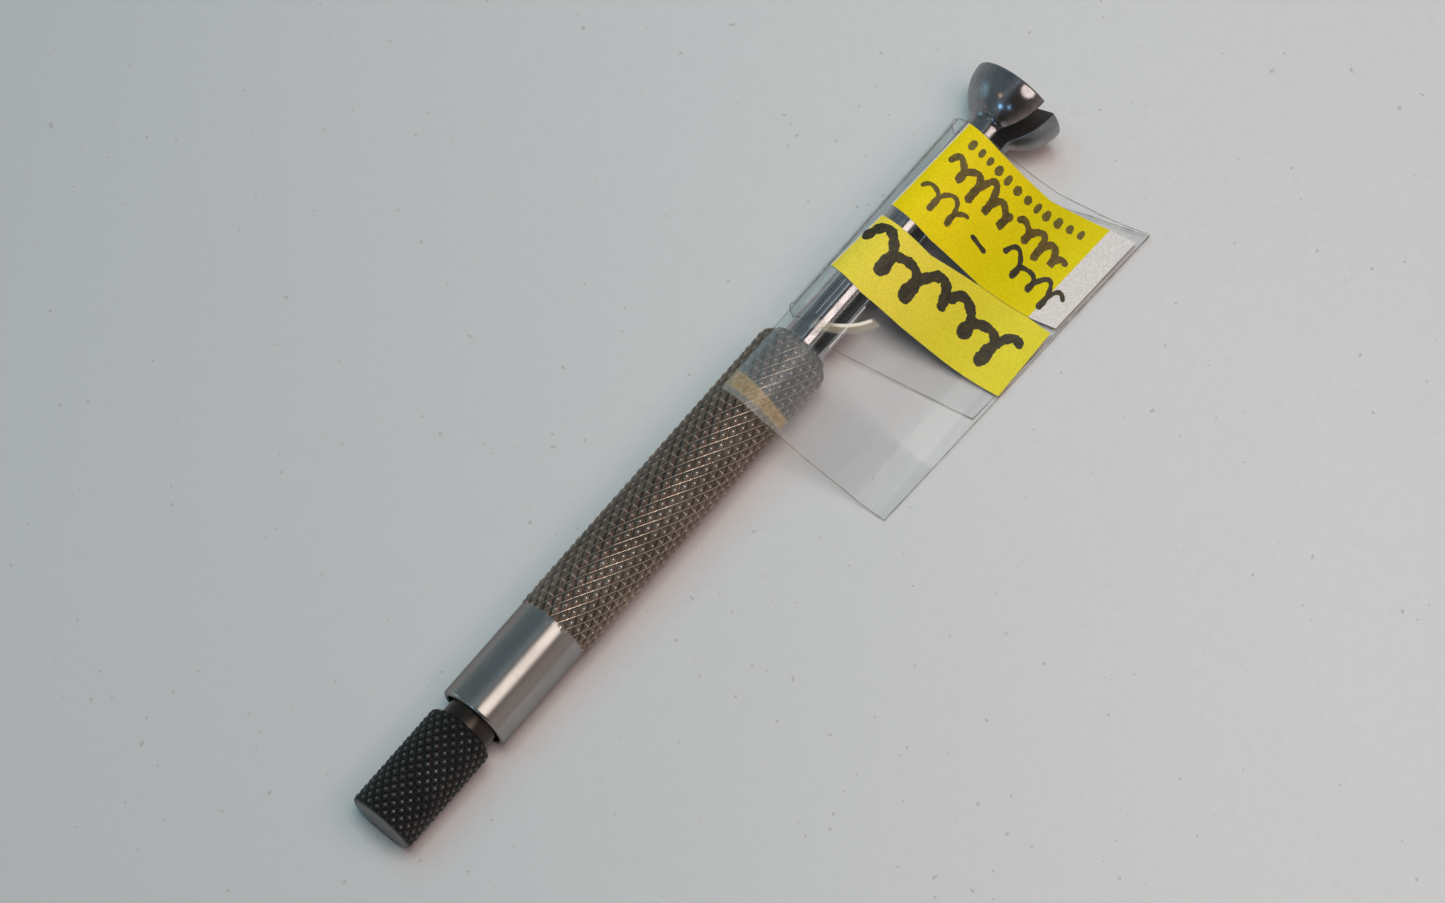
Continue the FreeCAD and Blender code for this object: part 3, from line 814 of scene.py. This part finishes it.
def spline(points, count=900):
    """Natural cubic through the points, over chord length, at even steps."""
    P = np.array(points, float)
    knots = path_lengths(P)
    size = len(knots)
    h = np.diff(knots)
    matrix = np.zeros((size, size))
    right = np.zeros((size, 2))
    matrix[0, 0] = matrix[-1, -1] = 1
    for i in range(1, size - 1):
        matrix[i, i - 1:i + 2] = h[i - 1], 2 * (h[i - 1] + h[i]), h[i]
        right[i] = 3 * ((P[i + 1] - P[i]) / h[i] - (P[i] - P[i - 1]) / h[i - 1])
    c = np.linalg.solve(matrix, right)
    s = np.linspace(0, knots[-1], count)
    k = np.clip(np.searchsorted(knots, s) - 1, 0, size - 2)
    t = (s - knots[k])[:, None]
    hk = h[k][:, None]
    b = (P[k + 1] - P[k]) / hk - hk * (2 * c[k] + c[k + 1]) / 3
    return P[k] + b * t + c[k] * t * t + (c[k + 1] - c[k]) / (3 * hk) * t ** 3


class Sheet:
    """A section curve, read by distance along it; side (+1 or -1) turns its normal outward."""
    def __init__(self, points, side):
        self.curve = spline(points)
        self.lengths = path_lengths(self.curve)
        tangent = np.gradient(self.curve, axis=0)
        tangent /= np.linalg.norm(tangent, axis=1)[:, None]
        self.normal = np.c_[-tangent[:, 1], tangent[:, 0]] * side

    def at(self, s, offset):
        """y and z at distance s, lifted outward by offset."""
        y, z, normal_y, normal_z = (np.interp(s, self.lengths, column)
                                    for column in (*self.curve.T, *self.normal.T))
        return y + normal_y * offset, z + normal_z * offset

    def s_of_y(self, y, skip=0):
        """Distance at a given y; y must fall all along the curve once skip points are passed."""
        return np.interp(-np.asarray(y), -self.curve[skip:, 0], self.lengths[skip:])

    def edge(self, y_rear, y_front, skip=0):
        """A slanting side edge: distance as a function of v, 0 at the rear and 1 at the front."""
        return lambda v: float(self.s_of_y(y_rear + (y_front - y_rear) * v, skip))


def outline(points):
    """x as a function of y, along one side of an outline."""
    xs, ys = zip(*sorted(points, key=lambda point: point[1]))
    return lambda y: np.interp(y, ys, xs)


def sheet_mesh(name, sheet, start, end, front, rear, base, thickness, across, rows, mats,
               strip=0.0, lip=0.0):
    """Solid sheet on a section. start and end are side edges; front and rear give x at a y.
    The second material goes on the sides, a border strip wide all round, and a lip at start."""
    ts = np.linspace(0, 1, across)
    vs = np.linspace(0, 1, rows)
    width = abs(end(0.5) - start(0.5))
    if strip:
        strip_t = strip / width
        strip_v = strip / abs(front(-8.0) - rear(-8.0))
        ts = np.r_[0, np.linspace(strip_t, 1 - strip_t, across - 2), 1]
        vs = np.r_[0, np.linspace(strip_v, 1 - strip_v, rows - 2), 1]
    if lip:
        ts = np.r_[0, np.linspace(lip / width, 1, across - 1)]
    verts = []
    for offset in (base, base + thickness):
        for v in vs:
            s = start(v) + (end(v) - start(v)) * ts
            y, z = sheet.at(s, offset)
            base_y, _ = sheet.at(s, 0)
            x = REAR + rear(base_y) + (front(base_y) - rear(base_y)) * v
            verts.append(np.c_[x, y, z])
    layer = across * rows
    faces, face_mats = [], []
    for first in (0, layer):
        for i in range(rows - 1):
            for j in range(across - 1):
                a = first + i * across + j
                faces.append((a, a + 1, a + across + 1, a + across))
                border = strip and (i in (0, rows - 2) or j in (0, across - 2))
                face_mats.append(1 if border or (lip and j == 0) else 0)
    for a, b in grid_rim(across, rows):
        faces.append((a, b, b + layer, a + layer))
        face_mats.append(1)
    return make(name, np.array(verts).reshape(-1, 3), faces, mats, face_mats, sharp=50)


# ------------------------------------------------------------------ film and labels
# Front and rear edges of each sheet: x from REAR, y
FILM_FRONT = [(76.45, 5), (76.45, 1.73), (76.45, -2.6), (76.85, -4.81), (77.1, -6.2),
              (77.86, -8.86), (79.25, -12.0), (81.45, -18.16), (81.6, -20)]
FILM_REAR = [(39.97, 5), (39.8, 0), (39.8, -2.54), (40.28, -7.11), (41.04, -11.55),
             (41.56, -16.75), (41.6, -20)]
UNDER_FRONT = [(x - 0.15, y) for x, y in FILM_FRONT]
UNDER_REAR = [(51.2, 6), (51.2, 3.0), (51.2, 1.2), (51.4, 0.0), (51.75, -1.5), (52.3, -4.0),
              (53.2, -8.0), (54.15, -12.0), (54.8, -15.0), (55.25, -17.0), (55.9, -20)]
# "upper" is the label nearer the head, "lower" the one behind it
UPPER_FRONT = [(76.39, 1.25), (76.2, -2.86), (76.3, -5.8), (76.7, -8.85), (78.0, -11.85),
               (79.1, -14.8), (79.75, -17.6), (79.8, -20)]
UPPER_REAR = [(67.9, -20), (67.66, -17.1), (66.75, -14.3), (65.4, -9.08), (64.78, -3.27),
              (64.98, 1.72)]
LOWER_FRONT = [(63.54, 1.76), (63.71, -4.15), (65.35, -9.08), (66.70, -14.3), (66.95, -17.03),
               (67.0, -20)]
LOWER_REAR = [(58.7, -20), (58.56, -17.2), (56.52, -6.3), (56.0, -1.64), (56.46, 2.34)]
FILM_END = dict(y_rear=-16.75, y_front=-18.14, skip=500)

top, under = Sheet(TOP, -1), Sheet(UNDER, 1)
FILM = clear_film("clear_film", marked=True)
FILM_UNDER = clear_film("clear_film_under", marked=False)
FILM_EDGE = film_cut_edge()
PAPER_UPPER = paper("label_paper_bright", (0.95, 0.74, 0.004), far=(0.84, 0.71, 0.003),
                    white=(0.84, 0.80, 0.77))
PAPER_LOWER = paper("label_paper_pale", (0.95, 0.78, 0.070), far=(0.87, 0.76, 0.045))
PAPER_CUT = paper("label_cut_edge", (0.80, 0.76, 0.68), dark=(0.68, 0.64, 0.56))

films = [
    sheet_mesh("tag_film_clear", top, lambda v: 0.0, top.edge(**FILM_END), outline(FILM_FRONT),
               outline(FILM_REAR), base=0.0, thickness=FILM_T, across=150, rows=60,
               mats=[FILM, FILM_EDGE], strip=0.10),
    sheet_mesh("tag_film_under", under, lambda v: 0.35, under.edge(**FILM_END),
               outline(UNDER_FRONT), outline(UNDER_REAR), base=0.0, thickness=FILM_T,
               across=170, rows=40, mats=[FILM_UNDER, FILM_EDGE], strip=0.10),
]
for film in films:
    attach(film, "handle")
for film in films:
    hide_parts("tag_film")


def label(name, start, end, front, rear, rows, mat):
    return sheet_mesh(name, top, start, end, outline(front), outline(rear), base=LABEL_BASE,
                      thickness=LABEL_T, across=120, rows=rows, mats=[mat, PAPER_CUT], lip=0.13)


upper_label = label("tag_label_upper", top.edge(1.72, 1.25), top.edge(-17.1, -17.55),
                    UPPER_FRONT, UPPER_REAR, 50, PAPER_UPPER)
lower_label = label("tag_label_lower", top.edge(2.34, 1.76), top.edge(-17.2, -17.03),
                    LOWER_FRONT, LOWER_REAR, 30, PAPER_LOWER)
for obj, node, slot in ((upper_label, "tag_upper_label", "yellow_white_paper"),
                        (lower_label, "tag_lower_label", "yellow_paper")):
    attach(obj, "handle")
    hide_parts(node)
    obj.visible_glossy = False

# ------------------------------------------------------------------ marks on the labels
INK_TOP, INK_BASE = 0.012, 0.003  # above the paper
STROKE_STEP, STROKE_ROWS = 0.12, 5


def stroke(store, points, width):
    """A solid pen stroke with rounded ends, added to store. points: x from REAR, y."""
    verts, faces = store
    P = np.array(points, float)
    lengths = path_lengths(P)
    total = lengths[-1]
    count = max(int(total / STROKE_STEP), 3)
    s = np.linspace(0, total, count)
    line = np.c_[np.interp(s, lengths, P[:, 0]), np.interp(s, lengths, P[:, 1])]
    for _ in range(3):
        line[1:-1] = (line[:-2] + 2 * line[1:-1] + line[2:]) / 4
    tangent = np.gradient(line, axis=0)
    tangent /= np.linalg.norm(tangent, axis=1)[:, None]
    normal = np.c_[-tangent[:, 1], tangent[:, 0]]
    short = np.clip(1 - np.minimum(s, total - s) / (width * 0.5), 0, 1)
    ends = np.minimum(1, np.sqrt(np.clip(1 - short ** 2, 0.02, 1)))
    wobble = 1 + 0.10 * np.sin(s * 5.1 + P[0, 0]) + 0.06 * rng.standard_normal(count)
    rows = []
    for lift in (INK_TOP, INK_BASE):
        for k in range(STROKE_ROWS):
            aside = (k / (STROKE_ROWS - 1) - 0.5) * width * ends * wobble
            plan = line + normal * aside[:, None]
            y, z = top.at(top.s_of_y(plan[:, 1]), LABEL_TOP + lift)
            rows.append(np.c_[REAR + plan[:, 0], y, z])
    base = sum(len(v) for v in verts)
    verts.append(np.array(rows).reshape(-1, 3))
    layer = STROKE_ROWS * count
    for k in range(STROKE_ROWS - 1):
        for i in range(count - 1):
            a = base + k * count + i
            b = a + layer
            faces.append((a, a + 1, a + count + 1, a + count))
            faces.append((b, b + count, b + count + 1, b + 1))
    for a, b in grid_rim(count, STROKE_ROWS):
        faces.append((base + b, base + a, base + a + layer, base + b + layer))


def scribble(store, x, y_from, y_to, height, pitch, width, lean, phase):
    """A run of loops, like a quick illegible hand."""
    t = np.linspace(0, 1, 240)
    turn = 2 * math.pi * (abs(y_to - y_from) / pitch) * t
    swing = height * (1 + 0.35 * np.sin(turn * 0.37 + phase))
    xs = x + swing * np.sin(turn) + 0.12 * np.sin(turn * 2.3)
    ys = y_from + (y_to - y_from) * t + lean * np.cos(turn) * pitch * 0.28
    stroke(store, np.c_[xs, ys], width)


def dash_row(store):
    """A row of short dashes along the label's front edge."""
    draw = np.random.default_rng(5)
    y = 0.0
    while y > -13.4:
        width = draw.uniform(0.62, 1.05)
        x = 74.75 + np.interp(-y, [0, 6, 9, 12, 14], [0, 0.05, 0.6, 1.7, 2.3])
        reach = draw.uniform(0.50, 0.62)
        stroke(store, [(x - reach, y - width / 2), (x + reach, y - width / 2)], width * 0.72)
        y -= width + draw.uniform(0.20, 0.34)


# Scribbles: x from REAR, y from, y to, height, pitch, width, lean, phase
OLIVE_SCRIBBLES = [
    (71.9, -0.2, -7.6, 1.30, 1.80, 0.70, 0.8, 3),
    (72.7, -8.2, -13.6, 1.00, 1.60, 0.70, 0.8, 4),
    (68.2, 0.2, -4.4, 1.10, 2.0, 0.48, 0.9, 5),
]
BLACK_SCRIBBLES = [
    (69.5, -9.2, -15.6, 1.15, 1.9, 0.50, 0.9, 8),
    (60.4, 0.7, -7.0, 1.95, 3.1, 1.0, 1.0, 2),
    (61.8, -8.6, -15.2, 1.70, 2.8, 1.0, 1.0, 9),
]
olive, black, printed = ([], []), ([], []), ([], [])
dash_row(printed)
for row in OLIVE_SCRIBBLES:
    scribble(olive, *row)
stroke(black, [(68.2, -5.6), (68.0, -7.6)], width=0.48)
for row in BLACK_SCRIBBLES:
    scribble(black, *row)

# object, its strokes, material, ink colour, thin ink colour
INKS = [
    ("tag_marks_olive", olive, "marker_on_yellow", (0.075, 0.05, 0.012), (0.20, 0.14, 0.02)),
    ("tag_marks_black", black, "marker_black", (0.022, 0.020, 0.014), (0.075, 0.06, 0.02)),
    ("tag_marks_print", printed, "printed_row", (0.10, 0.075, 0.015), (0.22, 0.17, 0.02)),
]
for name, (verts, faces), mat_name, color, thin in INKS:
    marks = make(name, np.vstack(verts), faces, [ink(mat_name, color, thin)], sharp=50)
    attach(marks, "handle")

# ------------------------------------------------------------------ table
TABLE_HALF = 700.0
table_normal = np.array([0.0157, 0, 0.99988])   # the tool lies at a slight tilt to it
table_normal /= np.linalg.norm(table_normal)
table_along = np.array([table_normal[2], 0, -table_normal[0]])
table_centre = np.array([REAR + 82.7, 0, -5.235]) - table_along * 60
corners = [table_centre + table_along * a * TABLE_HALF + np.array([0, b * TABLE_HALF, 0])
           for a, b in ((-1, -1), (1, -1), (1, 1), (-1, 1))]
make("table", corners, [(0, 1, 2, 3)], [pale_table()])


# ------------------------------------------------------------------ camera
def pose(x_axis, y_axis, z_axis, place):
    return Matrix([*zip(x_axis, y_axis, z_axis, place), (0, 0, 0, 1)])


camera_place = np.array([-88.11 + REAR, -111.31, 496.44])
view = np.array([0.23684, 0.21071, -0.94843])
view /= np.linalg.norm(view)
right = np.cross(view, np.array([0.72937, 0.60633, 0.31684]))
right /= np.linalg.norm(right)
camera_data = bpy.data.cameras.new("camera")
camera = add_object("camera", camera_data)
camera.matrix_world = pose(right, np.cross(right, view), -view, camera_place * MM)
camera_data.sensor_fit = "HORIZONTAL"
camera_data.sensor_width = 36.0
camera_data.lens = 134.532872
camera_data.clip_start = 0.01
camera_data.clip_end = 20.0
bpy.context.scene.camera = camera

# ------------------------------------------------------------------ lights
target = Vector((station(40), -0.003, 0.0))
to_camera = -Vector(view)
# square to the view: along the tool towards the head, and across it towards -y
along_dir = Vector((1, 0, 0)) - to_camera * to_camera.x
along_dir.normalize()
across_dir = along_dir.cross(to_camera)


def aim(along, across):
    """Direction this many degrees off the camera's, along and across the tool."""
    return (to_camera + along_dir * math.tan(math.radians(along))
            + across_dir * math.tan(math.radians(across)))


def panel(name, direction, distance, size, power, color, shape, seen):
    """Soft light facing the target. It either shows in reflections (seen) or lights surfaces."""
    direction.normalize()
    light = bpy.data.lights.new(name, "AREA")
    light.shape = shape
    light.size, light.size_y = size
    light.energy = power
    light.color = color
    obj = add_object(name, light)
    x_axis = along_dir - direction * along_dir.dot(direction)
    x_axis.normalize()
    obj.matrix_world = pose(x_axis, direction.cross(x_axis), direction,
                            target + direction * distance)
    obj.visible_glossy = seen
    obj.visible_diffuse = not seen
    obj.visible_camera = False


BOX, OVAL = "RECTANGLE", "ELLIPSE"
# name, direction, distance and size (metres), watts, colour, shape, seen in reflections
PANELS = [
    ("overhead_seen", aim(23, 7.3), 0.9, (0.52, 0.50), 1.50, (1.0, 0.905, 0.84), OVAL, True),
    ("thin_line_seen", aim(10, -25), 1.0, (0.95, 0.010), 0.060, (0.90, 0.97, 1.0), BOX, True),
    ("overhead", aim(15, -12), 1.0, (0.35, 0.35), 3.9, (1.0, 0.93, 0.86), BOX, False),
    ("cool_left", aim(15, -34), 1.2, (0.80, 0.78), 3.7, (0.277, 0.83, 1.0), BOX, False),
    ("warm_right", aim(20, 10), 0.36, (0.23, 0.23), 0.45, (1.0, 0.711, 0.676), BOX, False),
    ("blue_spot", aim(-49, -24), 1.2, (0.17, 0.14), 0.42, (0.26, 0.60, 1.0), OVAL, True),
    ("blue_spot_2", aim(-35, -2), 1.2, (0.12, 0.07), 0.22, (0.35, 0.68, 1.0), OVAL, True),
    ("amber_spot", aim(-31, -38), 1.2, (0.13, 0.11), 0.10, (1.0, 0.70, 0.40), OVAL, True),
    ("blue_card", Vector((-0.42, 0.90, 0.12)), 0.5, (0.16, 0.09), 0.110, (0.42, 0.80, 1.0),
     BOX, True),
]
for row in PANELS:
    panel(*row)

# ------------------------------------------------------------------ world
# What metal reflects round the tool's axis: degrees from the camera towards -y, colour.
# Cool on the +y side, dark overhead, warm grey on the -y side.
SEEN_LIMIT = 125
SEEN = [
    (-125, (0.30, 0.34, 0.355)), (-103, (0.265, 0.33, 0.355)), (-94, (0.225, 0.285, 0.31)),
    (-80, (0.18, 0.24, 0.262)), (-45, (0.165, 0.225, 0.25)), (-34, (0.24, 0.31, 0.35)),
    (-24, (0.25, 0.32, 0.36)), (-17, (0.11, 0.12, 0.13)), (-8, (0.07, 0.065, 0.06)),
    (20, (0.09, 0.08, 0.075)), (33, (0.20, 0.17, 0.16)), (46, (0.41, 0.355, 0.34)),
    (60, (0.42, 0.365, 0.35)), (125, (0.36, 0.315, 0.30)),
]


def build_world():
    world = bpy.data.worlds.new("room")
    bpy.context.scene.world = world
    world.use_nodes = True
    nodes, link = world.node_tree.nodes, world.node_tree.links.new
    nodes.clear()
    output = nodes.new("ShaderNodeOutputWorld")
    coords = nodes.new("ShaderNodeTexCoord")
    angle = nodes.new("ShaderNodeMath")
    angle.operation = "ARCTAN2"
    for socket, axis in zip(angle.inputs, (across_dir, to_camera)):
        dot = nodes.new("ShaderNodeVectorMath")
        dot.operation = "DOT_PRODUCT"
        link(coords.outputs["Generated"], dot.inputs[0])
        dot.inputs[1].default_value = tuple(axis)
        link(dot.outputs["Value"], socket)
    span = nodes.new("ShaderNodeMapRange")
    link(angle.outputs[0], span.inputs[0])
    span.inputs[1].default_value = math.radians(-SEEN_LIMIT)
    span.inputs[2].default_value = math.radians(SEEN_LIMIT)
    ramp = nodes.new("ShaderNodeValToRGB")
    link(span.outputs[0], ramp.inputs[0])
    stops = ramp.color_ramp.elements
    while len(stops) < len(SEEN):
        stops.new(0.5)
    for k, (degrees, color) in enumerate(SEEN):
        stops[k].position = (degrees + SEEN_LIMIT) / (2 * SEEN_LIMIT)
        stops[k].color = (*color, 1)

    def background(strength):
        node = nodes.new("ShaderNodeBackground")
        node.inputs[0].default_value = (0.96, 0.985, 1.0, 1)
        node.inputs[1].default_value = strength
        return node

    def switch(ray, otherwise, when):
        node = nodes.new("ShaderNodeMixShader")
        link(rays.outputs[ray], node.inputs[0])
        link(otherwise.outputs[0], node.inputs[1])
        link(when.outputs[0], node.inputs[2])
        return node

    rays = nodes.new("ShaderNodeLightPath")
    reflected = background(strength=1.0)
    link(ramp.outputs[0], reflected.inputs[0])
    unseen = switch("Is Glossy Ray", background(strength=0.07), reflected)
    link(switch("Is Camera Ray", unseen, background(strength=0.52)).outputs[0], output.inputs[0])


build_world()
view_settings = bpy.context.scene.view_settings
view_settings.view_transform = "Standard"
view_settings.look = "None"
view_settings.exposure = 0.0
